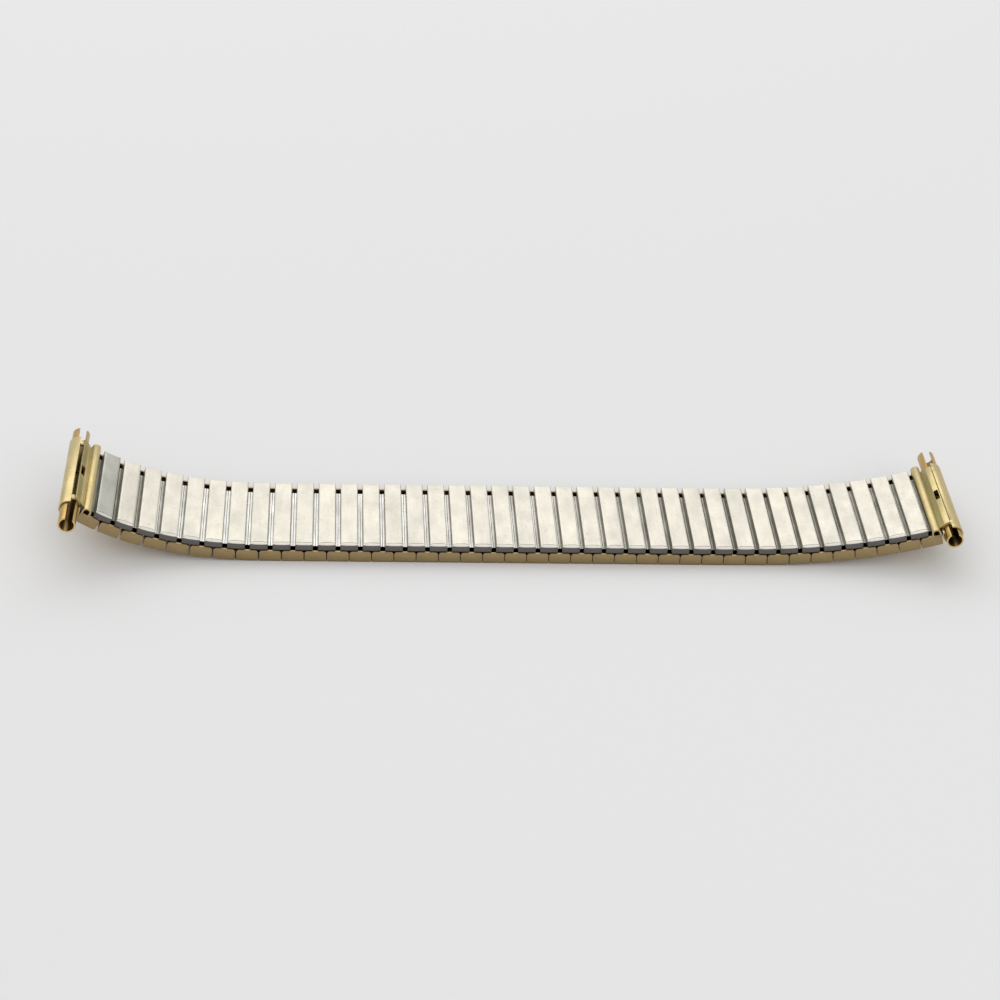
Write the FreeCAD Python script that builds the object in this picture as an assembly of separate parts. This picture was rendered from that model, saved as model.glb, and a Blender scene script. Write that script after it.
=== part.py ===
import FreeCAD, Part
import os
from math import acos, atan2, cos, degrees, radians, sin
from FreeCAD import Placement, Rotation, Vector

# Expansion watch band, skin side up, lying on its outer face with both ends curling up.
# X runs along the band, Y across it, Z up. Millimetres and degrees.
# A link is drawn in its own frame: u along the band, y across, h up, with h = 0 at the
# line where the outer row and the skin row meet.

# Rows of links
outer_links = 39
pitch = 3.2
seam = 0.1
row_gap = 0.08
seat_gap = 0.01

# How the band lies: both ends curl up, and the left half stands slightly open
flat_count_left = 10.0
curl_angle_left = 31.0
curl_power_left = 1.75
flat_count_right = 9.0
curl_angle_right = 16.8
curl_power_right = 1.5
open_gap = 0.09
open_start = 3.0
open_ramp = 14.0

# Gold cap of an outer link
cap_length = 15.9
cap_height = 1.75
cap_sheet = 0.2
cap_flap = 0.25
cap_return = 0.75
cap_bevel = 0.16
flap_bevel = 0.4

# Steel housing inside an outer link
housing_sheet = 0.15
housing_seam = 0.08
clip_pocket = 1.1

# Skin side link
skin_step = 0.2
skin_width = 2.5
skin_height = 1.12
skin_sheet = 0.15
skin_flap = 0.2
skin_return = 0.72
skin_bevel = 0.16

# Clips that hold the two rows together
clip_width = 0.62
clip_sheet = 0.2
clip_leg = 4.6
clip_play = 0.02

# Leaf springs that hold the clips flat
leaf_sheet = 0.1
leaf_end_gap = 0.8
leaf_play = 0.03
leaf_side_play = 0.14

# End piece
end_overhang = 0.2
end_sheet = 0.22
barrel_bore_radius = 1.28
barrel_reach = 1.52
barrel_drop = 0.4
lip_angle_left = 113.0
lip_angle_right = 95.0
fold_angle = 91.0
roll_width = 1.3
valley_height = 0.55
hole_length = 2.2
hole_width = 0.7
hole_angle = 74.0
key_angle = 102.0
key_width = 0.7
key_length = 0.8
key_depth = 0.3
notch_length = 1.0
notch_floor = 0.3

# Sliding sleeves that hold the spring bar
sleeve_fit = 0.04
sleeve_sheet = 0.24
sleeve_length = 8.0
sleeve_slot_angle = 56.0
out_left_front = 3.8
out_left_back = 2.7
out_right_front = 1.5
out_right_back = 3.7

# Every third pair of links is split, so that the band can curl there
first_split = 2
split_step = 3


# Sizes that follow from the ones above
middle_link = (outer_links + 1) // 2
cap_width = pitch - seam
housing_width = cap_width - 2 * (cap_sheet + seat_gap)
housing_length = cap_length - 2 * (cap_flap + clip_pocket)
housing_floor = -cap_height + cap_sheet + seat_gap
outer_cavity_floor = housing_floor + housing_sheet
skin_length = cap_length - 2 * skin_step
end_length = cap_length + 2 * end_overhang
leaf_length = housing_length - 2 * leaf_end_gap
skin_top = row_gap + skin_height
barrel_radius = barrel_bore_radius + end_sheet
sleeve_radius = barrel_bore_radius - sleeve_fit
sleeve_bore_radius = sleeve_radius - sleeve_sheet
web_place = (housing_length + clip_pocket) / 2
barrel_centre = Vector(-barrel_reach, 0, -barrel_drop)
split_links = range(first_split, outer_links, split_step)


def block(u0, u1, y0, y1, h0, h1):
    """Rectangular block between two corners."""
    return Part.makeBox(u1 - u0, y1 - y0, h1 - h0, Vector(u0, y0, h0))


def prism(outline, length):
    """Closed wire in the u, h plane pushed out along y, centred on y = 0."""
    outline.translate(Vector(0, -length / 2, 0))
    return Part.Face(outline).extrude(Vector(0, length, 0))


def polygon(points):
    """Closed wire through points given as pairs of u and h."""
    corners = [Vector(u, 0, h) for u, h in points]
    return Part.makePolygon(corners + corners[:1])


def polar(centre, radius, angle):
    """Point at a radius and an angle from a centre in the u, h plane."""
    turn = radians(angle)
    return Vector(centre.x + radius * cos(turn), 0, centre.z + radius * sin(turn))


def arc(centre, radius, start, end):
    """Arc edge in the u, h plane from one angle to another."""
    middle = polar(centre, radius, (start + end) / 2)
    return Part.Arc(polar(centre, radius, start), middle, polar(centre, radius, end)).toShape()


def line(start, end):
    return Part.LineSegment(start, end).toShape()


def mirrored_across(shape):
    """Copy of a shape on the other side of the band."""
    return shape.mirror(Vector(0, 0, 0), Vector(0, 1, 0))


def mirrored_along(shape):
    """Copy of a shape that faces the other end of the band."""
    return shape.mirror(Vector(0, 0, 0), Vector(1, 0, 0))


def tilt(place):
    """Tilt of the band at a place counted in links from the middle one."""
    reach = (outer_links - 1) / 2
    if place < -flat_count_left:
        share = (-place - flat_count_left) / (reach - flat_count_left)
        return -curl_angle_left * share ** curl_power_left
    if place > flat_count_right:
        share = (place - flat_count_right) / (reach - flat_count_right)
        return curl_angle_right * share ** curl_power_right
    return 0.0


def outer_tilt(link):
    return tilt(link - middle_link)


def skin_tilt(link):
    """A skin link leans half way between the two outer links below it."""
    low = max(link, 1)
    high = min(link + 1, outer_links)
    if low == high:
        return tilt(link + 0.5 - middle_link)
    return (outer_tilt(low) + outer_tilt(high)) / 2


def spacing(link):
    """Room along the band for an outer link and its seam, a little more where the band is open."""
    share = (middle_link - open_start - link) / open_ramp
    return pitch + open_gap * min(max(share, 0), 1)


def row_joints():
    """Points between outer links on the line where the rows meet, keyed by the left link."""
    joints = {middle_link: Vector(spacing(middle_link) / 2, 0, cap_height)}
    for link in range(middle_link, 0, -1):
        angle = radians(outer_tilt(link))
        joints[link - 1] = joints[link] - Vector(cos(angle), 0, sin(angle)) * spacing(link)
    for link in range(middle_link + 1, outer_links + 1):
        angle = radians(outer_tilt(link))
        joints[link] = joints[link - 1] + Vector(cos(angle), 0, sin(angle)) * spacing(link)
    return joints


row_line = row_joints()


def seated(shape, origin, angle):
    """Copy of a shape drawn in a link's frame, put where that link lies."""
    copy = shape.copy()
    copy.Placement = Placement(origin, Rotation(Vector(0, 1, 0), -angle)) * copy.Placement
    return copy


def at_outer(shape, link):
    """Put a shape drawn about the middle of an outer link on that link."""
    centre = (row_line[link - 1] + row_line[link]) / 2
    return seated(shape, centre, outer_tilt(link))


def at_skin(shape, link):
    """Put a shape drawn about the middle of a skin link on that link."""
    return seated(shape, row_line[link], skin_tilt(link))


def whole(shape):
    """The single solid left when faces in one plane are merged."""
    return shape.removeSplitter().Solids[0]


def gold_cap():
    """Tray with low side returns, and end flaps as tall as the outer row."""
    half = cap_width / 2
    inner = half - cap_sheet
    floor = -cap_height
    tray = polygon([
        (-half, floor + cap_return), (-half, floor + cap_bevel), (-half + cap_bevel, floor),
        (half - cap_bevel, floor), (half, floor + cap_bevel), (half, floor + cap_return),
        (inner, floor + cap_return), (inner, floor + cap_sheet),
        (-inner, floor + cap_sheet), (-inner, floor + cap_return)])
    cap = prism(tray, cap_length)
    flap = prism(polygon([
        (-half + cap_bevel, floor), (half - cap_bevel, floor), (half, floor + cap_bevel),
        (half, -flap_bevel), (half - flap_bevel, 0), (-half + flap_bevel, 0),
        (-half, -flap_bevel), (-half, floor + cap_bevel)]), cap_flap)
    reach = (cap_length - cap_flap) / 2
    for side in (-1, 1):
        end = flap.copy()
        end.translate(Vector(0, side * reach, 0))
        cap = cap.fuse(end)
    return whole(cap)


def housing():
    """Folded steel sleeve with its seam along the top, shorter than the cap."""
    half = housing_width / 2
    sheet = housing_sheet
    sleeve = polygon([
        (housing_seam / 2, 0), (half, 0), (half, housing_floor), (-half, housing_floor),
        (-half, 0), (-housing_seam / 2, 0), (-housing_seam / 2, -sheet),
        (-half + sheet, -sheet), (-half + sheet, housing_floor + sheet),
        (half - sheet, housing_floor + sheet), (half - sheet, -sheet),
        (housing_seam / 2, -sheet)])
    return prism(sleeve, housing_length)


def skin_link():
    """Folded steel box with end flaps and two returns below that the clips bear on."""
    half = skin_width / 2
    length = skin_length / 2
    outside = block(-half, half, -length, length, row_gap, skin_top)
    top_edges = [edge for edge in outside.Edges if edge.BoundBox.ZMin > skin_top - skin_bevel]
    outside = outside.makeChamfer(skin_bevel, top_edges)
    inner = half - skin_sheet
    inner_length = length - skin_flap
    floor = row_gap + skin_sheet
    cavity = block(-inner, inner, -inner_length, inner_length, floor, skin_top - skin_sheet)
    slot = half - skin_return
    reach = housing_length / 2
    below = row_gap - skin_sheet
    opening = block(-slot, slot, -inner_length, inner_length, below, floor)
    shape = outside.cut(cavity).cut(opening)
    for side in (-1, 1):
        y0, y1 = sorted((side * reach, side * inner_length))
        shape = shape.cut(block(-inner, inner, y0, y1, below, floor))
    return whole(shape)


def clip():
    """Flat staple at the front edge: one leg in an outer link, one in a skin link."""
    low = -housing_sheet - clip_play
    high = row_gap + skin_sheet + clip_play
    outer_low = low - clip_sheet
    outer_high = high + clip_sheet
    front = -web_place - clip_sheet / 2
    inner = front + clip_sheet
    tip = front + clip_leg
    half = clip_width / 2
    points = [(front, outer_low), (tip, outer_low), (tip, low), (inner, low),
              (inner, high), (tip, high), (tip, outer_high), (front, outer_high)]
    corners = [Vector(-half, y, h) for y, h in points]
    outline = Part.makePolygon(corners + corners[:1])
    return Part.Face(outline).extrude(Vector(clip_width, 0, 0))


def leaf_spring(width, middle, end):
    """Strip bent at its middle, with both arms reaching to the clips' legs."""
    tip = leaf_length / 2
    points = [(-tip, end), (0, middle), (tip, end)]
    above = [(y, h + leaf_sheet) for y, h in reversed(points)]
    corners = [Vector(-width / 2, y, h) for y, h in points + above]
    outline = Part.makePolygon(corners + corners[:1])
    return Part.Face(outline).extrude(Vector(width, 0, 0))


def outer_leaf():
    width = housing_width - 2 * (housing_sheet + leaf_side_play)
    legs = -housing_sheet - clip_play - clip_sheet - leaf_play
    return leaf_spring(width, outer_cavity_floor + seat_gap, legs - leaf_sheet)


def skin_leaf():
    width = skin_width - 2 * (skin_sheet + leaf_side_play)
    roof = skin_top - skin_sheet - seat_gap
    legs = row_gap + skin_sheet + clip_play + clip_sheet + leaf_play
    return leaf_spring(width, roof - leaf_sheet, legs)


def roll_leaf():
    """Narrow leaf spring inside the end piece's roll."""
    bore = roll_width / 2 - end_sheet
    width = bore
    roof = skin_top - roll_width / 2 + (bore ** 2 - (width / 2) ** 2) ** 0.5
    legs = row_gap + skin_sheet + clip_play + clip_sheet + leaf_play
    spring = leaf_spring(width, roof - leaf_sheet - seat_gap, legs)
    spring.translate(Vector(clip_offset(pitch), 0, 0))
    return spring


def end_piece(lip_angle):
    """Rolled sheet of the left end: barrel, folded flap, and the roll that hooks the band."""
    crown = roll_width / 2
    top = Vector(clip_offset(pitch), 0, skin_top - crown)
    barrel = prism(ring_sector(lip_angle, 360 + fold_angle, barrel_bore_radius, barrel_radius),
                   end_length)
    flap = folded_flap(Vector(top.x - crown + end_sheet / 2, 0, valley_height))
    roll = prism(arch(top, crown, row_gap), end_length)
    hollow = prism(arch(top, crown - end_sheet, row_gap + skin_sheet), end_length)
    shape = barrel.fuse(flap).fuse(roll).cut(hollow)
    slot = polar(barrel_centre, barrel_radius, (lip_angle + fold_angle) / 2)
    for side in (-1, 1):
        y0, y1 = sorted((side * housing_length / 2, side * end_length / 2))
        mouth = block(top.x - crown + end_sheet, top.x + crown - end_sheet, y0, y1,
                      row_gap - skin_sheet, row_gap + skin_sheet)
        y0, y1 = sorted((side * (end_length / 2 - notch_length), side * end_length / 2))
        notch = block(slot.x, top.x - crown, y0, y1, notch_floor, skin_top + barrel_radius)
        shape = shape.cut(mouth).cut(notch)
    half = hole_length / 2
    shape = shape.cut(radial_block(hole_angle, hole_width, -half, half,
                                   barrel_bore_radius - key_depth, barrel_radius + 2 * end_sheet))
    for side in (-1, 1):
        y0, y1 = sorted((side * (end_length / 2 - notch_length - key_length),
                         side * (end_length / 2 - notch_length)))
        key = radial_block(key_angle, key_width, y0, y1, barrel_bore_radius - key_depth, barrel_radius)
        shape = shape.fuse(key)
    return whole(shape)


def ring_sector(start, end, inner, outer):
    """Closed wire of a ring about the barrel's middle, open between two angles."""
    return Part.Wire([
        arc(barrel_centre, outer, start, end),
        line(polar(barrel_centre, outer, end), polar(barrel_centre, inner, end)),
        arc(barrel_centre, inner, end, start),
        line(polar(barrel_centre, inner, start), polar(barrel_centre, outer, start))])


def folded_flap(foot):
    """Second layer folded back over the barrel's shoulder, then straight to the roll's wall."""
    outer = barrel_radius + end_sheet
    away = foot - barrel_centre
    leave = degrees(atan2(away.z, away.x) + acos(outer / away.Length))
    below = foot - Vector(0, 0, end_sheet)
    high = [polar(barrel_centre, outer, angle) for angle in (fold_angle, leave)]
    low = [polar(barrel_centre, barrel_radius, angle) for angle in (fold_angle, leave)]
    return prism(Part.Wire([
        arc(barrel_centre, outer, fold_angle, leave), line(high[1], foot), line(foot, below),
        line(below, low[1]), arc(barrel_centre, barrel_radius, leave, fold_angle),
        line(low[0], high[0])]), end_length)


def arch(top, radius, floor):
    """Closed wire with a round top, straight sides and a flat floor."""
    low_left = Vector(top.x - radius, 0, floor)
    low_right = Vector(top.x + radius, 0, floor)
    return Part.Wire([
        line(low_left, low_right), line(low_right, polar(top, radius, 0)),
        arc(top, radius, 0, 180), line(polar(top, radius, 180), low_left)])


def radial_block(angle, width, y0, y1, inner, outer):
    """Block that stands on a radius of the barrel, between two distances from its middle."""
    shape = block(-width / 2, width / 2, y0, y1, inner, outer)
    shape.Placement = Placement(barrel_centre, Rotation(Vector(0, 1, 0), 90 - angle))
    return shape


def sleeve():
    """Open tube of the back side, drawn with its outer end flush with the barrel's."""
    start = key_angle + sleeve_slot_angle / 2
    end = key_angle - sleeve_slot_angle / 2 + 360
    tube = prism(ring_sector(start, end, sleeve_bore_radius, sleeve_radius), sleeve_length)
    tube.translate(Vector(0, (end_length - sleeve_length) / 2, 0))
    return tube


def clip_pair(link, side):
    """Front and back clips of a skin link, on its left (-1) or right (1) outer link."""
    outer = link if side < 0 else link + 1
    lean = (skin_tilt(link) + outer_tilt(outer)) / 2
    reach = side * clip_offset(spacing(outer))
    clips = []
    for shape in (clip_front, clip_back):
        moved = shape.copy()
        moved.translate(Vector(reach, 0, 0))
        clips.append(seated(moved, row_line[link], lean))
    return clips


def clip_offset(room):
    """Distance of a clip from a skin link's middle, shared between both links' walls."""
    in_skin = skin_width / 2 - skin_sheet - clip_width / 2
    in_outer = room / 2 - (housing_width / 2 - housing_sheet - clip_width / 2)
    return (in_skin + in_outer) / 2


clip_front = clip()
clip_back = mirrored_across(clip_front)


def build_nodes():
    """Every node's name with its solids."""
    shapes = {"cap": gold_cap(), "housing": housing(), "outer_leaf": outer_leaf(),
              "skin": skin_link(), "skin_leaf": skin_leaf()}
    nodes = {}
    crossing = []
    for link in range(1, outer_links + 1):
        outer = [at_outer(shapes[name], link) for name in ("cap", "housing", "outer_leaf")]
        if link == outer_links:
            nodes["gold_link_%02d" % link] = outer
            continue
        skin = [at_skin(shapes[name], link) for name in ("skin", "skin_leaf")]
        if link in split_links:
            nodes["gold_link_%02d" % link] = outer
            nodes["skin_link_%02d" % link] = skin
            crossing += clip_pair(link, -1)
        else:
            nodes["link_pair_%02d" % link] = outer + skin + clip_pair(link, -1)
        crossing += clip_pair(link, 1)
    crossing += clip_pair(0, 1)
    crossing += clip_pair(outer_links, -1)
    nodes["connecting_clips"] = crossing
    nodes.update(build_ends())
    return nodes


def build_ends():
    """End pieces with their leaf springs, and the four sleeves at their places."""
    spring = roll_leaf()
    back = sleeve()
    front = mirrored_across(back)
    sleeves = {"sleeve_left_front": (front, -out_left_front), "sleeve_left_back": (back, out_left_back),
               "sleeve_right_front": (front, -out_right_front),
               "sleeve_right_back": (back, out_right_back)}
    nodes = {}
    for name, link, lip_angle in (("end_piece_left", 0, lip_angle_left),
                                  ("end_piece_right", outer_links, lip_angle_right)):
        solids = [end_piece(lip_angle), spring]
        if link == outer_links:
            solids = [mirrored_along(solid) for solid in solids]
        nodes[name] = [seated(solid, row_line[link], skin_tilt(link)) for solid in solids]
    for name, (shape, out) in sleeves.items():
        solid = shape.copy()
        solid.translate(Vector(0, out, 0))
        link = 0
        if "right" in name:
            solid = mirrored_along(solid)
            link = outer_links
        nodes[name] = [seated(solid, row_line[link], skin_tilt(link))]
    return nodes


def centred(nodes):
    """Move the whole band so that its origin is under the middle of its outline."""
    whole = Part.makeCompound([solid for solids in nodes.values() for solid in solids]).BoundBox
    shift = Vector(-whole.Center.x, -whole.Center.y, -whole.ZMin)
    for solids in nodes.values():
        for solid in solids:
            solid.translate(shift)
    return shift


nodes = build_nodes()
shift = centred(nodes)

os.makedirs("parts", exist_ok=True)
for name, solids in nodes.items():
    Part.makeCompound(solids).exportStep("parts/%s.step" % name)
print(len(nodes), "nodes,", sum(len(solids) for solids in nodes.values()), "solids")
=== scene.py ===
from math import acos, atan2, cos, degrees, pi, radians, sin

import bmesh
import bpy
from mathutils import Matrix, Vector


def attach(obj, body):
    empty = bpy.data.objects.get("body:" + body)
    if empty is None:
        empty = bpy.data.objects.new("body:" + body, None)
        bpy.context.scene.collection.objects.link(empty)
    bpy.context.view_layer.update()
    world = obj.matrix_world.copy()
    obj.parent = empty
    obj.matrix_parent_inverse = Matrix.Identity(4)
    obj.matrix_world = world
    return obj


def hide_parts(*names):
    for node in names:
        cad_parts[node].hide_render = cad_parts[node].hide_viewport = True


# Expansion watch band, skin side up. The links are drawn in millimetres in their own frames:
# u along the band, y across it, h up, with h = 0 at the line where the two rows meet.
# seat() puts them in metres where each link lies.

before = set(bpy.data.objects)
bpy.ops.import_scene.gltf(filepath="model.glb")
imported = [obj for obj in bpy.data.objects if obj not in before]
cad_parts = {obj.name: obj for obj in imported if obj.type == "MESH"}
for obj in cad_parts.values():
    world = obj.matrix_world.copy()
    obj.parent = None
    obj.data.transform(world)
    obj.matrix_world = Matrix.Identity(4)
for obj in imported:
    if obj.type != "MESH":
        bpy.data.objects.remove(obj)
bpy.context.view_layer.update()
MM = 0.001

# Sizes of the model
outer_links = 39
middle_link = 20
pitch = 3.2
row_gap = 0.08
flat_count_left = 10.0
curl_angle_left = 31.0
curl_power_left = 1.75
flat_count_right = 9.0
curl_angle_right = 16.8
curl_power_right = 1.5
open_gap = 0.09
open_start = 3.0
open_ramp = 14.0
split_links = range(2, outer_links, 3)
shift_x = -0.0079234
shift_y = 0.05

cap_width = 3.1
cap_length = 15.9
cap_height = 1.75
cap_sheet = 0.2
cap_flap = 0.25
cap_return = 0.75

housing_width = 2.68
housing_length = 13.2
housing_sheet = 0.15
housing_seam = 0.08
housing_floor = -1.54

skin_width = 2.5
skin_length = 15.5
skin_top = 1.2
skin_sheet = 0.15
skin_flap = 0.2
skin_return = 0.72
skin_edge = 0.15
skin_edge_turns = 5
skin_flat_parts = 8
end_step_height = 0.06
end_step_width = 0.04
end_slope = 0.42
end_slope_power = 1.3
end_reach_edge = 0.12
end_reach_middle = 0.3

clip_width = 0.62
clip_sheet = 0.2
clip_leg = 4.6
clip_play = 0.02
web_place = 7.15

leaf_sheet = 0.1
leaf_length = 11.6
leaf_play = 0.03
leaf_side_play = 0.14
leaf_parts = 12
leaf_bow_power = 1.15
seat_gap = 0.01

end_length = 16.3
end_sheet = 0.22
barrel_bore_radius = 1.28
barrel_radius = 1.5
barrel_u = -1.52
barrel_h = -0.4
barrel_centre = (barrel_u, barrel_h)
fold_angle = 91.0
roll_width = 1.3
roll_bevel = 0.08
valley_height = 0.55
hole_length = 2.2
hole_width = 0.7
hole_angle = 74.0
key_angle = 102.0
key_width = 0.7
key_length = 0.8
key_depth = 0.3
key_rise = 0.06
notch_length = 1.0
notch_floor = 0.3

sleeve_radius = 1.24
sleeve_bore_radius = 1.0
sleeve_length = 8.0
sleeve_slot_angle = 56.0
sleeve_outs = {"left_front": 3.8, "left_back": 2.7, "right_front": 1.5, "right_back": 3.7}


# Where the links lie

def tilt(place):
    """Tilt of the band in degrees at a place counted in links from the middle one."""
    reach = (outer_links - 1) / 2
    if place < -flat_count_left:
        share = (-place - flat_count_left) / (reach - flat_count_left)
        return -curl_angle_left * share ** curl_power_left
    if place > flat_count_right:
        share = (place - flat_count_right) / (reach - flat_count_right)
        return curl_angle_right * share ** curl_power_right
    return 0.0


def outer_tilt(link):
    return tilt(link - middle_link)


def skin_tilt(link):
    """A skin link leans half way between the two outer links below it."""
    low = max(link, 1)
    high = min(link + 1, outer_links)
    if low == high:
        return tilt(link + 0.5 - middle_link)
    return (outer_tilt(low) + outer_tilt(high)) / 2


def spacing(link):
    share = (middle_link - open_start - link) / open_ramp
    return pitch + open_gap * min(max(share, 0), 1)


def step(link):
    angle = radians(outer_tilt(link))
    return Vector((cos(angle), 0, sin(angle))) * spacing(link)


row_line = {middle_link: Vector((spacing(middle_link) / 2 + shift_x, shift_y, cap_height))}
for link in range(middle_link, 0, -1):
    row_line[link - 1] = row_line[link] - step(link)
for link in range(middle_link + 1, outer_links + 1):
    row_line[link] = row_line[link - 1] + step(link)


def clip_offset(room):
    """Distance of a clip from a skin link's middle, shared between both links' walls."""
    in_skin = skin_width / 2 - skin_sheet - clip_width / 2
    in_outer = room / 2 - (housing_width / 2 - housing_sheet - clip_width / 2)
    return (in_skin + in_outer) / 2


def place_of(origin, angle):
    """Matrix from a link's frame in millimetres to metres."""
    turn = Matrix.Rotation(radians(-angle), 4, "Y")
    return Matrix.Scale(MM, 4) @ Matrix.Translation(origin) @ turn


def outer_place(link):
    return place_of((row_line[link - 1] + row_line[link]) / 2, outer_tilt(link))


def skin_place(link):
    return place_of(row_line[link], skin_tilt(link))


def outer_body(link):
    if link in split_links or link == outer_links:
        return "gold_link_%02d" % link
    return "link_pair_%02d" % link


def skin_body(link):
    if link in split_links:
        return "skin_link_%02d" % link
    return "link_pair_%02d" % link


# Mesh helpers

def mesh_of(name, points, faces):
    mesh = bpy.data.meshes.new(name)
    mesh.from_pydata([tuple(point) for point in points], [], faces)
    mesh.update()
    return tidy(mesh)


def tidy(mesh):
    """Weld doubled points and turn all faces outward."""
    form = bmesh.new()
    form.from_mesh(mesh)
    bmesh.ops.remove_doubles(form, verts=form.verts, dist=1e-5)
    bmesh.ops.recalc_face_normals(form, faces=form.faces)
    form.to_mesh(mesh)
    form.free()
    return mesh


def prism(name, outline, y0, y1):
    """Solid between two copies of an outline given as pairs of u and h."""
    count = len(outline)
    points = [(u, y, h) for y in (y0, y1) for u, h in outline]
    faces = [tuple(range(count)), tuple(range(count, 2 * count))]
    faces += [(i, (i + 1) % count, (i + 1) % count + count, i + count) for i in range(count)]
    return mesh_of(name, points, faces)


def block(name, u0, u1, y0, y1, h0, h1):
    return prism(name, [(u0, h0), (u1, h0), (u1, h1), (u0, h1)], y0, y1)


def polar(centre, radius, angle):
    return (centre[0] + radius * cos(radians(angle)), centre[1] + radius * sin(radians(angle)))


def arc(centre, radius, start, end, sag_step=6.0):
    """Points along an arc, ends included."""
    count = max(2, round(abs(end - start) / sag_step))
    return [polar(centre, radius, start + (end - start) * i / count) for i in range(count + 1)]


def rounded(corners, steps=4):
    """Outline with its corners rounded. Each corner is u, h and a radius."""
    outline = []
    count = len(corners)
    for i, (u, h, radius) in enumerate(corners):
        here = Vector((u, h))
        if radius == 0:
            outline.append((u, h))
            continue
        before = (Vector(corners[i - 1][:2]) - here).normalized()
        after = (Vector(corners[(i + 1) % count][:2]) - here).normalized()
        half = before.angle(after) / 2
        cut = radius / abs(sin(half) / cos(half))
        middle = here + (before + after).normalized() * (radius / sin(half))
        first = here + before * cut - middle
        last = here + after * cut - middle
        turn = first.angle_signed(last)
        for k in range(steps + 1):
            angle = turn * k / steps
            spot = middle + Matrix.Rotation(-angle, 2) @ first
            outline.append((spot.x, spot.y))
    return outline


def applied(mesh, *steps):
    """The mesh after modifiers. Each step is a modifier type and its settings."""
    thing = bpy.data.objects.new("work", mesh)
    bpy.context.scene.collection.objects.link(thing)
    for kind, settings in steps:
        modifier = thing.modifiers.new(kind, kind)
        for key, value in settings.items():
            setattr(modifier, key, value)
    bpy.context.view_layer.update()
    graph = bpy.context.evaluated_depsgraph_get()
    result = bpy.data.meshes.new_from_object(thing.evaluated_get(graph), depsgraph=graph)
    bpy.data.objects.remove(thing)
    return result


def combined(mesh, others, operation):
    """Boolean of a mesh with a list of others."""
    for other in others:
        tool = bpy.data.objects.new("tool", other)
        bpy.context.scene.collection.objects.link(tool)
        mesh = applied(mesh, ("BOOLEAN", {"operation": operation, "object": tool, "solver": "EXACT"}))
        bpy.data.objects.remove(tool)
    return mesh


def softened(mesh, width, segments=2, angle=35.0):
    """Small rounded edges wherever the surface turns by more than the angle."""
    return applied(mesh, ("BEVEL", {
        "width": width, "segments": segments, "limit_method": "ANGLE",
        "angle_limit": radians(angle), "use_clamp_overlap": True, "harden_normals": False}))


def mirrored(mesh, axis):
    copy = mesh.copy()
    flip = Matrix.Scale(-1, 4, axis)
    copy.transform(flip)
    copy.flip_normals()
    return copy


def moved(mesh, u, y, h):
    copy = mesh.copy()
    copy.transform(Matrix.Translation((u, y, h)))
    return copy


def turned_across(mesh):
    """Swap u and y of a prism whose outline was drawn in y and h."""
    mesh.transform(Matrix(((0, 1, 0, 0), (1, 0, 0, 0), (0, 0, 1, 0), (0, 0, 0, 1))))
    mesh.flip_normals()
    return mesh


sharp_angle = 38


def seat(mesh, name, place, body, material, tone=0.0, nodes=()):
    """A piece in its place, riding on a body and standing for CAD nodes.
    The tone is added to what the mesh carries: 0 is bright metal, 1 is dull."""
    copy = mesh.copy()
    copy.name = name
    copy.transform(place)
    for face in copy.polygons:
        face.use_smooth = True
    copy.set_sharp_from_angle(angle=radians(sharp_angle))
    marks = copy.attributes.get("tone") or copy.attributes.new("tone", "FLOAT", "POINT")
    for mark in marks.data:
        mark.value += tone
    copy.materials.clear()
    copy.materials.append(material)
    piece = bpy.data.objects.new(name, copy)
    bpy.context.scene.collection.objects.link(piece)
    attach(piece, body)
    if nodes:
        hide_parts(*nodes)


# Materials

def wire(tree, kind, inputs=None, **settings):
    """A shader node with its settings and inputs. An input is a value or another socket."""
    node = tree.nodes.new(kind)
    for key, value in settings.items():
        setattr(node, key, value)
    for key, value in (inputs or {}).items():
        if isinstance(value, bpy.types.NodeSocket):
            tree.links.new(value, node.inputs[key])
        else:
            node.inputs[key].default_value = value
    return node


def blank(name):
    material = bpy.data.materials.new(name)
    material.use_nodes = True
    material.node_tree.nodes.clear()
    return material, material.node_tree


def stretched_noise(tree, place, scales, detail=3.0, roughness=0.55):
    """Noise drawn out along the axes where its scale is small. Scales are in waves per metre."""
    spots = wire(tree, "ShaderNodeMapping", {"Vector": place, "Scale": scales})
    return wire(tree, "ShaderNodeTexNoise", {
        "Vector": spots.outputs["Vector"], "Scale": 1.0, "Detail": detail,
        "Roughness": roughness}).outputs["Fac"]


def ramp(tree, factor, *stops):
    node = wire(tree, "ShaderNodeValToRGB", {"Fac": factor})
    band = node.color_ramp
    while len(band.elements) < len(stops):
        band.elements.new(0.5)
    for element, (position, colour) in zip(band.elements, stops):
        element.position = position
        element.color = (*colour, 1.0)
    return node.outputs["Color"]


def level(tree, factor, low, high, to_low, to_high):
    return wire(tree, "ShaderNodeMapRange", {
        "Value": factor, "From Min": low, "From Max": high,
        "To Min": to_low, "To Max": to_high}).outputs["Result"]


def mix(tree, factor, first, second, blend="MIX"):
    node = wire(tree, "ShaderNodeMix", data_type="RGBA", blend_type=blend)
    colours = [socket for socket in node.inputs if socket.type == "RGBA"]
    for socket, value in ((node.inputs[0], factor), (colours[0], first), (colours[1], second)):
        if isinstance(value, bpy.types.NodeSocket):
            tree.links.new(value, socket)
        elif isinstance(value, tuple):
            socket.default_value = (*value, 1.0)
        else:
            socket.default_value = value
    return [socket for socket in node.outputs if socket.type == "RGBA"][0]


def times(tree, first, second):
    return wire(tree, "ShaderNodeMath", {0: first, 1: second}, operation="MULTIPLY").outputs[0]


def plus(tree, first, second):
    return wire(tree, "ShaderNodeMath", {0: first, 1: second}, operation="ADD").outputs[0]


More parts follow.
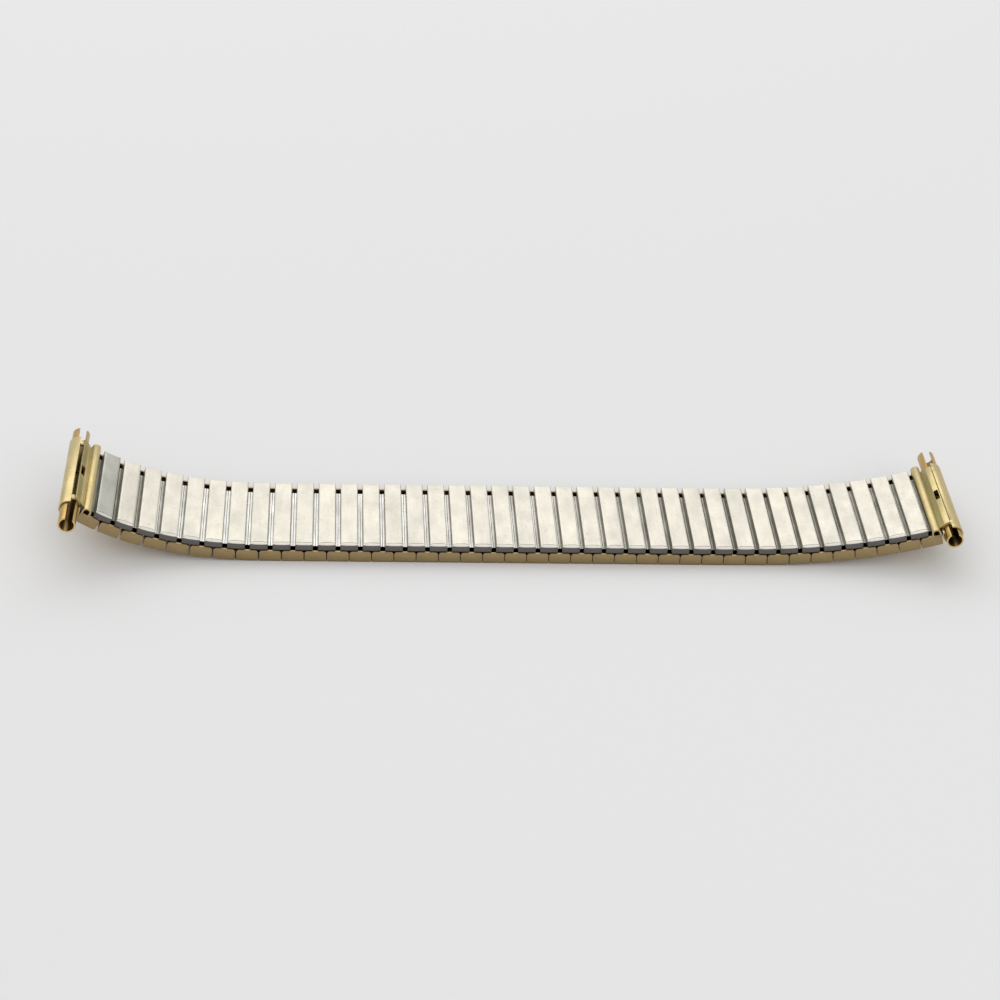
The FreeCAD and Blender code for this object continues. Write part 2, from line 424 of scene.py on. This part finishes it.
def metal(name, bright, dull, grime_and_shade, painted_slope_light, painted_end_light, lines, gloss, line_depth, shade_reach=0.6,
          spots=0.25, streaks=0.2):
    """Brushed metal. The lines run along the axis with the small number in lines.
    Faces that slope down at a link's ends get a painted highlight or shade in the slope colour, and
    upright end faces get a painted shade or highlight in the end colour."""
    material, tree = blank(name)
    coordinates = wire(tree, "ShaderNodeTexCoord")
    place = coordinates.outputs["Object"]
    facing = wire(tree, "ShaderNodeSeparateXYZ", {"Vector": coordinates.outputs["Normal"]}).outputs["Y"]
    facing = wire(tree, "ShaderNodeMath", {0: facing}, operation="ABSOLUTE").outputs[0]
    cloud = stretched_noise(tree, place, (420, 260, 420), detail=4.0)
    fine = stretched_noise(tree, place, lines, detail=2.0)
    specks = stretched_noise(tree, place, (2600, 2600, 2600), detail=2.0, roughness=0.6)
    tone = wire(tree, "ShaderNodeAttribute", attribute_name="tone").outputs["Fac"]
    shade = plus(tree, level(tree, cloud, 0.3, 0.7, 0.0, 0.3), tone)
    between = tuple((a + b) / 2 for a, b in zip(bright, dull))
    colour = ramp(tree, shade, (0.0, bright), (0.55, between), (1.0, dull))
    streak = level(tree, fine, 0.3, 0.7, 0.0, 1.0)
    colour = mix(tree, times(tree, streak, streaks), colour, dull)
    # Painted light: end slopes and upright end faces, picked by how they face along the link, get painted
    # highlight or shade colours
    colour = mix(tree, level(tree, facing, 0.12, 0.35, 0.0, 0.6), colour, painted_slope_light)
    colour = mix(tree, level(tree, facing, 0.55, 0.92, 0.0, 1.0), colour, painted_end_light)
    speck = level(tree, specks, 0.60, 0.72, 0.0, spots)
    colour = mix(tree, speck, colour, grime_and_shade)
    # Painted shade: hollows and gaps, found by ambient occlusion, are painted towards the grime colour,
    # which also colours the real specks
    hollow = wire(tree, "ShaderNodeAmbientOcclusion", {"Distance": shade_reach * MM}, samples=8)
    hollow_shade = level(tree, hollow.outputs["AO"], 0.15, 0.75, 0.85, 0.0)
    colour = mix(tree, hollow_shade, colour, grime_and_shade)
    rough = plus(tree, level(tree, cloud, 0.3, 0.7, gloss[0], gloss[1]), times(tree, hollow_shade, 0.3))
    rough = plus(tree, rough, times(tree, streak, 0.06))
    height = plus(tree, fine, times(tree, specks, 0.35))
    bump = wire(tree, "ShaderNodeBump", {"Strength": 0.35, "Distance": line_depth * MM, "Height": height})
    shader = wire(tree, "ShaderNodeBsdfPrincipled", {
        "Base Color": colour, "Roughness": rough, "Metallic": 1.0,
        "Normal": bump.outputs["Normal"]})
    out = wire(tree, "ShaderNodeOutputMaterial")
    tree.links.new(shader.outputs["BSDF"], out.inputs["Surface"])
    return material


across_lines = (9000, 260, 9000)
around_lines = (500, 9000, 500)
# In each metal the slope and end colours are painted highlight or shade: the skin's bright slope colour is
# a painted highlight and its dark end colour painted shade. The grime colour is real specks and also
# painted shade in hollows. The dull colour is real tone and also the painted shade of bores, flaps and cap
# tops.
skin_steel = metal(
    "skin_steel", bright=(0.74, 0.695, 0.60), dull=(0.40, 0.41, 0.365), grime_and_shade=(0.20, 0.17, 0.13),
    painted_slope_light=(0.95, 0.92, 0.85), painted_end_light=(0.16, 0.15, 0.145), lines=across_lines, gloss=(0.36, 0.46),
    line_depth=0.012, shade_reach=0.35, streaks=0.1)
strip_steel = metal(
    "strip_steel", bright=(0.95, 0.94, 0.90), dull=(0.30, 0.30, 0.26), grime_and_shade=(0.05, 0.05, 0.045),
    painted_slope_light=(0.6, 0.6, 0.57), painted_end_light=(0.06, 0.06, 0.06), lines=across_lines, gloss=(0.22, 0.34),
    line_depth=0.03, shade_reach=0.55, streaks=0.35)
clip_metal = metal(
    "clip_metal", bright=(0.30, 0.29, 0.27), dull=(0.16, 0.155, 0.14), grime_and_shade=(0.02, 0.02, 0.02),
    painted_slope_light=(0.2, 0.2, 0.2), painted_end_light=(0.05, 0.05, 0.05), lines=across_lines, gloss=(0.38, 0.5),
    line_depth=0.015)
cap_gold = metal(
    "cap_gold", bright=(0.66, 0.50, 0.27), dull=(0.42, 0.31, 0.16), grime_and_shade=(0.09, 0.06, 0.03),
    painted_slope_light=(0.70, 0.54, 0.30), painted_end_light=(0.36, 0.265, 0.135), lines=around_lines, gloss=(0.30, 0.42),
    line_depth=0.015)
end_gold = metal(
    "end_gold", bright=(0.74, 0.60, 0.31), dull=(0.34, 0.29, 0.12), grime_and_shade=(0.10, 0.09, 0.03),
    painted_slope_light=(0.72, 0.58, 0.30), painted_end_light=(0.55, 0.42, 0.20), lines=around_lines, gloss=(0.30, 0.42),
    line_depth=0.015, shade_reach=0.9)
sleeve_gold = metal(
    "sleeve_gold", bright=(0.68, 0.45, 0.16), dull=(0.20, 0.13, 0.05), grime_and_shade=(0.08, 0.05, 0.02),
    painted_slope_light=(0.68, 0.45, 0.16), painted_end_light=(0.72, 0.50, 0.22), lines=across_lines, gloss=(0.26, 0.38),
    line_depth=0.012)


# Painted shade: how dull a shaded surface is painted, from 0 to 1, and how far it reaches down a cap's
# edge
cap_top_shade = 0.8
cap_top_shade_depth = 0.02
painted_shade_tone = 0.9
bore_margin = 0.02
clean = 0.05


# Pieces, each drawn once in its own frame

def cap_mesh():
    """Gold tray with rounded outer edges and tall end flaps with rounded shoulders."""
    half = cap_width / 2
    inner = half - cap_sheet
    floor = -cap_height
    top = floor + cap_return
    tray = rounded([
        (-half, top, 0.05), (-half, floor, 0.22), (half, floor, 0.22), (half, top, 0.05),
        (inner, top, 0.05), (inner, floor + cap_sheet, 0.08),
        (-inner, floor + cap_sheet, 0.08), (-inner, top, 0.05)])
    end = rounded([(-half, floor, 0.22), (half, floor, 0.22), (half, 0, 0.42), (-half, 0, 0.42)], steps=6)
    reach = cap_length / 2
    body = prism("tray", tray, -reach + cap_flap / 2, reach - cap_flap / 2)
    flaps = [prism("flap", end, *sorted((side * reach, side * (reach - cap_flap)))) for side in (-1, 1)]
    shape = softened(combined(body, flaps, "UNION"), 0.045)
    # Painted shade: the top edge of each cap, lying under the skin links and in the pockets, is painted
    # dull
    marks = shape.attributes.new("tone", "FLOAT", "POINT").data
    for vertex, mark in zip(shape.vertices, marks):
        mark.value = cap_top_shade if vertex.co.z > -cap_top_shade_depth else 0.0
    return shape


def housing_mesh():
    """Folded steel sleeve with its seam along the top."""
    half = housing_width / 2
    sheet = housing_sheet
    seam = housing_seam / 2
    outline = rounded([
        (seam, 0, 0), (half, 0, 0.16), (half, housing_floor, 0.16), (-half, housing_floor, 0.16),
        (-half, 0, 0.16), (-seam, 0, 0), (-seam, -sheet, 0), (-half + sheet, -sheet, 0.03),
        (-half + sheet, housing_floor + sheet, 0.03), (half - sheet, housing_floor + sheet, 0.03),
        (half - sheet, -sheet, 0.03), (seam, -sheet, 0)])
    return prism("housing", outline, -housing_length / 2, housing_length / 2)


def skin_outside():
    """Folded box. At each end a thin step in the top marks where the end slope starts."""
    half = skin_width / 2
    reach = skin_length / 2
    bends = [pi / 2 * k / skin_edge_turns for k in range(skin_edge_turns + 1)]
    left = [(-half + skin_edge * (1 - cos(bend)), skin_edge * (1 - sin(bend))) for bend in bends]
    inner = half - skin_edge
    flat = [(-inner + 2 * inner * k / skin_flat_parts, 0.0) for k in range(1, skin_flat_parts)]
    stations = left + flat + [(-u, drop) for u, drop in reversed(left)]
    shares = (1.0, 0.75, 0.5, 0.25, 0.0)
    rows = [(share, end_step_height + end_slope * share ** end_slope_power) for share in shares]
    rows.append((None, 0.0))
    points = []
    for side in (-1, 1):
        order = rows if side < 0 else list(reversed(rows))
        for share, fall in order:
            for u, drop in stations:
                length = end_reach_edge + end_reach_middle * (1 - (u / half) ** 4)
                if share is None:
                    depth = length + end_step_width
                    down = fall
                else:
                    depth = length * (1 - share)
                    down = end_step_height + (fall - end_step_height) * length
                points.append((u, side * (reach - depth),
                               skin_top - drop - down * (1 - drop / skin_edge * 0.6)))
    width = len(stations)
    total = len(points) // width
    faces = []
    for row in range(total - 1):
        for k in range(width - 1):
            a = row * width + k
            faces.append((a, a + 1, a + 1 + width, a + width))
    base = len(points)
    low = row_gap
    first = [points[row * width] for row in range(total)]
    last = [points[row * width + width - 1] for row in range(total)]
    points += [(p[0], p[1], low) for p in first] + [(p[0], p[1], low) for p in last]
    for row in range(total - 1):
        faces.append((row * width, (row + 1) * width, base + row + 1, base + row))
        a = row * width + width - 1
        faces.append((a, a + width, base + total + row + 1, base + total + row))
    near = [k for k in range(width)] + [base + total, base]
    far = [(total - 1) * width + k for k in range(width)] + [base + 2 * total - 1, base + total - 1]
    faces += [tuple(near), tuple(far)]
    faces.append(tuple([base + row for row in range(total)]
                       + [base + total + row for row in reversed(range(total))]))
    return mesh_of("skin", points, faces)


def skin_mesh():
    half = skin_width / 2
    reach = skin_length / 2
    inner = half - skin_sheet
    inner_length = reach - skin_flap
    floor = row_gap + skin_sheet
    below = row_gap - skin_sheet
    slot = half - skin_return
    cuts = [block("cavity", -inner, inner, -inner_length, inner_length, floor, skin_top - skin_sheet),
            block("slot", -slot, slot, -inner_length, inner_length, below, floor + 0.05)]
    for side in (-1, 1):
        y0, y1 = sorted((side * housing_length / 2, side * inner_length))
        cuts.append(block("mouth", -inner, inner, y0, y1, below, floor + 0.05))
    return combined(skin_outside(), cuts, "DIFFERENCE")


def clip_mesh():
    """Flat staple at the front edge, with its corners bent round."""
    low = -housing_sheet - clip_play
    high = row_gap + skin_sheet + clip_play
    front = -web_place - clip_sheet / 2
    inner = front + clip_sheet
    tip = front + clip_leg
    outline = rounded([
        (front, low - clip_sheet, 0.14), (tip, low - clip_sheet, 0), (tip, low, 0), (inner, low, 0),
        (inner, high, 0), (tip, high, 0), (tip, high + clip_sheet, 0), (front, high + clip_sheet, 0.14)])
    return softened(turned_across(prism("clip", outline, -clip_width / 2, clip_width / 2)), 0.03)


def leaf_mesh(width, middle, end):
    """Strip bowed along its length, with both ends on the clips' legs."""
    tip = leaf_length / 2
    stations = [-tip + 2 * tip * k / leaf_parts for k in range(leaf_parts + 1)]
    line = [(y, middle + (end - middle) * (abs(y) / tip) ** leaf_bow_power) for y in stations]
    outline = line + [(y, h + leaf_sheet) for y, h in reversed(line)]
    return turned_across(prism("leaf", outline, -width / 2, width / 2))


def radial_block(angle, width, y0, y1, inner, outer, soft=0.0):
    shape = block("radial", -width / 2, width / 2, y0, y1, inner, outer)
    if soft:
        shape = softened(shape, soft, segments=4)
    turn = Matrix.Rotation(radians(90 - angle), 4, "Y")
    shape.transform(Matrix.Translation((barrel_u, 0, barrel_h)) @ turn)
    return shape


def end_mesh(lip_angle, shaded_fold):
    """Rolled sheet of the left end: barrel, flap folded over its shoulder, and the roll.
    Painted shade darkens the flap along its fold, or else along its foot, and darkens the bore."""
    crown = roll_width / 2
    top = (clip_offset(pitch), skin_top - crown)
    wall = top[0] - crown
    foot = (wall + end_sheet / 2, valley_height)
    outer = barrel_radius + end_sheet
    away = Vector(foot) - Vector(barrel_centre)
    leave = degrees(atan2(away.y, away.x) + acos(outer / away.length))
    high = polar(barrel_centre, outer, leave)
    low = polar(barrel_centre, barrel_radius, leave)
    run = Vector(foot) - Vector(high)
    enter_high = high[1] + run.y * (wall - high[0]) / run.x
    under = Vector((foot[0], foot[1] - end_sheet)) - Vector(low)
    enter_low = low[1] + under.y * (wall - low[0]) / under.x
    outline = arc(barrel_centre, barrel_radius, lip_angle, 360 + leave)
    outline += [(wall, enter_low)]
    outline += [(wall, row_gap + roll_bevel), (wall + roll_bevel, row_gap),
                (wall + roll_width - roll_bevel, row_gap), (wall + roll_width, row_gap + roll_bevel)]
    outline += arc(top, crown, 0, 180)
    outline += [(wall, enter_high + 0.06), (wall - 0.06, enter_high + 0.045)]
    outline += arc(barrel_centre, outer, leave, fold_angle - 3)
    outline += [polar(barrel_centre, outer - 0.03, fold_angle - 1),
                polar(barrel_centre, outer - 0.1, fold_angle),
                polar(barrel_centre, barrel_bore_radius, fold_angle)]
    outline += arc(barrel_centre, barrel_bore_radius, fold_angle, lip_angle - 360)[1:]
    reach = end_length / 2
    shape = prism("end", outline, -reach, reach)
    bore = crown - end_sheet
    floor = row_gap + skin_sheet
    hollow = [(top[0] - bore, floor), (top[0] + bore, floor)] + arc(top, bore, 0, 180, 12)
    cuts = [prism("hollow", hollow, -reach - 1, reach + 1)]
    slot = polar(barrel_centre, barrel_radius, (lip_angle + fold_angle) / 2)
    for side in (-1, 1):
        y0, y1 = sorted((side * housing_length / 2, side * (reach + 1)))
        cuts.append(block("mouth", top[0] - bore, top[0] + bore, y0, y1, row_gap - 0.2, floor + 0.05))
        y0, y1 = sorted((side * (reach - notch_length), side * (reach + 1)))
        cuts.append(block("notch", slot[0], wall - 0.001, y0, y1, notch_floor, 4))
    half = hole_length / 2
    cuts.append(radial_block(hole_angle, hole_width, -half, half, barrel_bore_radius - key_depth,
                             barrel_radius + 2 * end_sheet, soft=0.15))
    shape = combined(shape, cuts, "DIFFERENCE")
    keys = []
    for side in (-1, 1):
        y0, y1 = sorted((side * (reach - notch_length - key_length), side * (reach - notch_length + 0.12)))
        keys.append(radial_block(key_angle, key_width, y0, y1, barrel_bore_radius - key_depth,
                                 barrel_radius + key_rise, soft=0.22))
    shape = softened(combined(shape, keys, "UNION"), 0.035, angle=40)
    # Painted shade on the bore and on one part of the flap; the rest is clean metal
    shade_marks = shape.attributes.new("tone", "FLOAT", "POINT").data
    for vertex, value in zip(shape.vertices, shade_marks):
        u, _, h = vertex.co
        out = Vector((u - barrel_u, h - barrel_h)).length
        above = h > notch_floor and out > (barrel_radius + outer) / 2
        on_flap = barrel_u < u < wall + 0.01 and above
        dull = on_flap and (u < low[0]) == shaded_fold
        value.value = painted_shade_tone if dull or out < barrel_bore_radius + bore_margin else clean
    return shape


def sleeve_mesh():
    """Open tube of the back side, drawn with its outer end flush with the barrel's."""
    start = key_angle + sleeve_slot_angle / 2
    end = key_angle - sleeve_slot_angle / 2 + 360
    outline = arc(barrel_centre, sleeve_radius, start, end)
    outline += arc(barrel_centre, sleeve_bore_radius, end, start)
    y1 = end_length / 2
    shape = softened(prism("sleeve", outline, y1 - sleeve_length, y1), 0.045)
    # Painted shade inside the bore
    marks = shape.attributes.new("tone", "FLOAT", "POINT").data
    for vertex, mark in zip(shape.vertices, marks):
        out = Vector((vertex.co.x - barrel_u, vertex.co.z - barrel_h)).length
        mark.value = painted_shade_tone if out < sleeve_bore_radius + bore_margin else clean
    return shape


outer_leaf = leaf_mesh(housing_width - 2 * (housing_sheet + leaf_side_play),
                       housing_floor + housing_sheet + seat_gap,
                       -housing_sheet - clip_play - clip_sheet - leaf_play - leaf_sheet)
skin_leaf = leaf_mesh(skin_width - 2 * (skin_sheet + leaf_side_play),
                      skin_top - skin_sheet - seat_gap - leaf_sheet,
                      row_gap + skin_sheet + clip_play + clip_sheet + leaf_play)
roll_bore = roll_width / 2 - end_sheet
roll_leaf = moved(leaf_mesh(
    roll_bore,
    skin_top - roll_width / 2 + (roll_bore ** 2 - (roll_bore / 2) ** 2) ** 0.5 - leaf_sheet - seat_gap,
    row_gap + skin_sheet + clip_play + clip_sheet + leaf_play), clip_offset(pitch), 0, 0)
cap = cap_mesh()
housing = housing_mesh()
skin = skin_mesh()
clip_front = clip_mesh()
clip_back = mirrored(clip_front, (0, 1, 0))

# Tones: the first skin link is darker and greener, the rest vary a little
first_tone = 0.62
tones = [0.08, 0.02, 0.12, 0.05, 0.0, 0.1, 0.04, 0.15, 0.03, 0.07]
# Painted shade on the housings towards the curled ends
grey_left_end, fade_left = 6, 3
grey_right_start, fade_right = 15, 14
strip_end_shade = 0.7


def tone_of(link):
    return tones[(link * 7) % len(tones)]


def strip_shade_and_tone(link):
    """Painted shade: housings are bright where the band lies flat on the left, and painted greyer towards
    both curled ends, with a little tone of their own.
    """
    left = min(max((grey_left_end - link) / fade_left, 0), 1)
    right = min(max((link - grey_right_start) / fade_right, 0), 1)
    return strip_end_shade * max(left, right) + tone_of(link + 3)


def seat_clips(link, side, body, nodes=()):
    """Front and back clips of a skin link, on its left (-1) or right (1) outer link."""
    outer = link if side < 0 else link + 1
    lean = (skin_tilt(link) + outer_tilt(outer)) / 2
    place = place_of(row_line[link], lean)
    reach = side * clip_offset(spacing(outer))
    word = "left" if side < 0 else "right"
    for edge, shape in (("front", clip_front), ("back", clip_back)):
        seat(moved(shape, reach, 0, 0), "clip_%s_%s_%02d" % (edge, word, link), place, body,
             clip_metal, nodes=nodes)
        nodes = ()


for link in range(1, outer_links + 1):
    body = outer_body(link)
    seat(cap, "gold_cap_%02d" % link, outer_place(link), body, cap_gold,
         tone_of(link), nodes=(body,))
    seat(housing, "housing_%02d" % link, outer_place(link), body, strip_steel,
         strip_shade_and_tone(link))
    seat(outer_leaf, "outer_leaf_%02d" % link, outer_place(link), body, clip_metal)
    if link == outer_links:
        continue
    body = skin_body(link)
    nodes = (body,) if link in split_links else ()
    tone = first_tone if link == 1 else tone_of(link + 1)
    seat(skin, "skin_%02d" % link, skin_place(link), body, skin_steel, tone, nodes=nodes)
    seat(skin_leaf, "skin_leaf_%02d" % link, skin_place(link), body, clip_metal)
    seat_clips(link, -1, outer_body(link), nodes=("connecting_clips",) if link == 2 else ())
    seat_clips(link, 1, outer_body(link + 1))
seat_clips(0, 1, outer_body(1))
seat_clips(outer_links, -1, outer_body(outer_links))

for side, link, lip_angle in (("left", 0, 113.0), ("right", outer_links, 95.0)):
    shape = end_mesh(lip_angle, shaded_fold=side == "left")
    spring = roll_leaf
    tube = sleeve_mesh()
    if side == "right":
        shape, spring, tube = [mirrored(mesh, (1, 0, 0)) for mesh in (shape, spring, tube)]
    place = place_of(row_line[link], skin_tilt(link))
    seat(shape, "end_" + side, place, "end_piece_" + side, end_gold,
         nodes=("end_piece_" + side,))
    seat(spring, "roll_leaf_" + side, place, "end_piece_" + side, clip_metal)
    for face, sign in (("front", -1), ("back", 1)):
        half_tube = tube if sign > 0 else mirrored(tube, (0, 1, 0))
        corner = "%s_%s" % (side, face)
        name = "sleeve_" + corner
        seat(moved(half_tube, 0, sign * sleeve_outs[corner], 0), "tube_" + corner, place, name,
             sleeve_gold, nodes=(name,))


# Floor, light and camera

def plain(name, colour, roughness):
    material, tree = blank(name)
    shader = wire(tree, "ShaderNodeBsdfPrincipled", {
        "Base Color": (*colour, 1.0), "Roughness": roughness, "Specular IOR Level": 0.2})
    out = wire(tree, "ShaderNodeOutputMaterial")
    tree.links.new(shader.outputs["BSDF"], out.inputs["Surface"])
    return material


floor_reach = 3.0
floor_height = -0.02 * MM
corners = [(-1, -1), (1, -1), (1, 1), (-1, 1)]
floor_piece = bpy.data.objects.new("floor", mesh_of(
    "floor", [(x * floor_reach, y * floor_reach, floor_height) for x, y in corners], [(0, 1, 2, 3)]))
bpy.context.scene.collection.objects.link(floor_piece)
floor_piece.data.materials.append(plain("floor", (0.80, 0.80, 0.80), 0.8))


def lamp(name, place, target, size, power):
    light = bpy.data.lights.new(name, "AREA")
    light.shape = "RECTANGLE"
    light.size, light.size_y = size
    light.energy = power
    thing = bpy.data.objects.new(name, light)
    thing.location = place
    thing.rotation_mode = "QUATERNION"
    thing.rotation_quaternion = (Vector(target) - Vector(place)).to_track_quat("-Z", "Y")
    bpy.context.scene.collection.objects.link(thing)


lamp("key", (-0.15, 0.60, 0.70), (0, 0, 0), (1.3, 0.8), 3.1)
lamp("fill", (0.30, -0.60, 0.50), (0, 0, 0), (0.6, 0.4), 1.0)

world = bpy.data.worlds.new("world")
bpy.context.scene.world = world
world.use_nodes = True
sky = world.node_tree.nodes["Background"]
sky.inputs["Color"].default_value = (0.94, 0.94, 0.94, 1.0)
sky.inputs["Strength"].default_value = 0.76

bpy.context.scene.view_settings.view_transform = "Standard"

# The camera, fitted to the photograph: elevation, heading and roll in degrees, then millimetres
elevation, heading, roll = radians(35.007), radians(5.117), radians(3.594)
distance = 349.577
target = Vector((-1.595 + shift_x, 5.449 + shift_y, cap_height))
focal_share = 2.342621
sensor = 36.0
look = Vector((sin(heading) * cos(elevation), cos(heading) * cos(elevation), -sin(elevation)))
right = Vector((cos(heading), -sin(heading), 0))
up = right.cross(look)
right_rolled = cos(roll) * right + sin(roll) * up
up_rolled = -sin(roll) * right + cos(roll) * up
lens = bpy.data.cameras.new("camera")
lens.sensor_width = sensor
lens.lens = focal_share * sensor
lens.clip_start = 0.01
lens.clip_end = 20.0
camera = bpy.data.objects.new("camera", lens)
camera.matrix_world = Matrix.Translation((target - look * distance) * MM) @ Matrix(
    (right_rolled, up_rolled, -look)).transposed().to_4x4()
bpy.context.scene.collection.objects.link(camera)
bpy.context.scene.camera = camera
